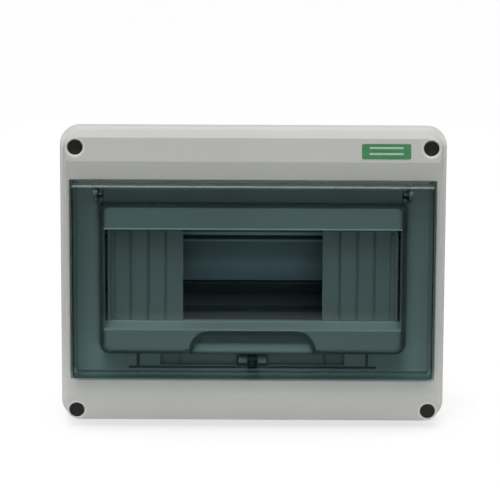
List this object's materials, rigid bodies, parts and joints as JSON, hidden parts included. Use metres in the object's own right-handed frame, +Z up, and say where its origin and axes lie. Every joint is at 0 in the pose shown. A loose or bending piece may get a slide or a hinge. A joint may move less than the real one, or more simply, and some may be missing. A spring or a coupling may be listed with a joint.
{
  "type": "dc combiner box",
  "caption": "Weatherproof wall box for DC string wiring: drafted plastic base and cover, smoked flip-up door, DIN rail, blanking plates and terminal bars.",
  "frame": {"origin": "centre of the back mounting face, at mid width and mid height", "axes": "+X to the right seen from the front, +Z up, -Y out of the wall towards the viewer; the back face lies in the plane y = 0 and its outward normal is +Y"},
  "size_m": [0.2, 0.09, 0.155],
  "materials": {
    "base_plastic": "satin moulded",
    "cover_plastic": "satin moulded",
    "door_clear": "smoked transparent polycarbonate",
    "dark_plastic": "moulded",
    "gasket_rubber": "matte",
    "zinc_steel": "zinc plated",
    "brass": "drawn",
    "blue_plastic": "moulded",
    "green_plastic": "moulded",
    "label_green": "printed film"
  },
  "bodies": {
    "base": {"base_box": "base_plastic", "cover_gasket": "gasket_rubber", "cover_screw_inserts": "brass", "din_rail": "zinc_steel", "rail_screws": "zinc_steel", "negative_bar_holder": "blue_plastic", "negative_bar": "brass", "negative_bar_screws": "zinc_steel", "earth_bar_holder": "green_plastic", "earth_bar": "brass", "earth_bar_screws": "zinc_steel", "bar_holder_screws": "zinc_steel"},
    "cover": {"front_cover": "cover_plastic", "cover_screws": "zinc_steel", "screw_seal_washers": "gasket_rubber", "hinge_pin_left": "zinc_steel", "hinge_pin_right": "zinc_steel", "latch_keeper_pin": "zinc_steel", "blanking_plate_left": "cover_plastic", "blanking_plate_right": "cover_plastic", "label_plate": "label_green"},
    "door_flap": {"door": "door_clear", "door_latch_fork": "door_clear"},
    "cap_top_left": {"screw_cap_top_left": "dark_plastic"},
    "cap_top_right": {"screw_cap_top_right": "dark_plastic"},
    "cap_bottom_left": {"screw_cap_bottom_left": "dark_plastic"},
    "cap_bottom_right": {"screw_cap_bottom_right": "dark_plastic"}
  },
  "joints": [
    {"name": "cover_lift_off", "type": "slide", "parent": "base", "child": "cover", "axis": [0, -1, 0], "range_m": [0, 0.12]},
    {"name": "door_hinge", "type": "hinge", "parent": "cover", "child": "door_flap", "pos_m": [0, -0.085, 0.0445], "axis": [-1, 0, 0], "range_deg": [0, 110]},
    {"name": "cap_top_left_pull", "type": "slide", "parent": "cover", "child": "cap_top_left", "axis": [0, -1, 0], "range_m": [0, 0.02]},
    {"name": "cap_top_right_pull", "type": "slide", "parent": "cover", "child": "cap_top_right", "axis": [0, -1, 0], "range_m": [0, 0.02]},
    {"name": "cap_bottom_left_pull", "type": "slide", "parent": "cover", "child": "cap_bottom_left", "axis": [0, -1, 0], "range_m": [0, 0.02]},
    {"name": "cap_bottom_right_pull", "type": "slide", "parent": "cover", "child": "cap_bottom_right", "axis": [0, -1, 0], "range_m": [0, 0.02]}
  ]
}
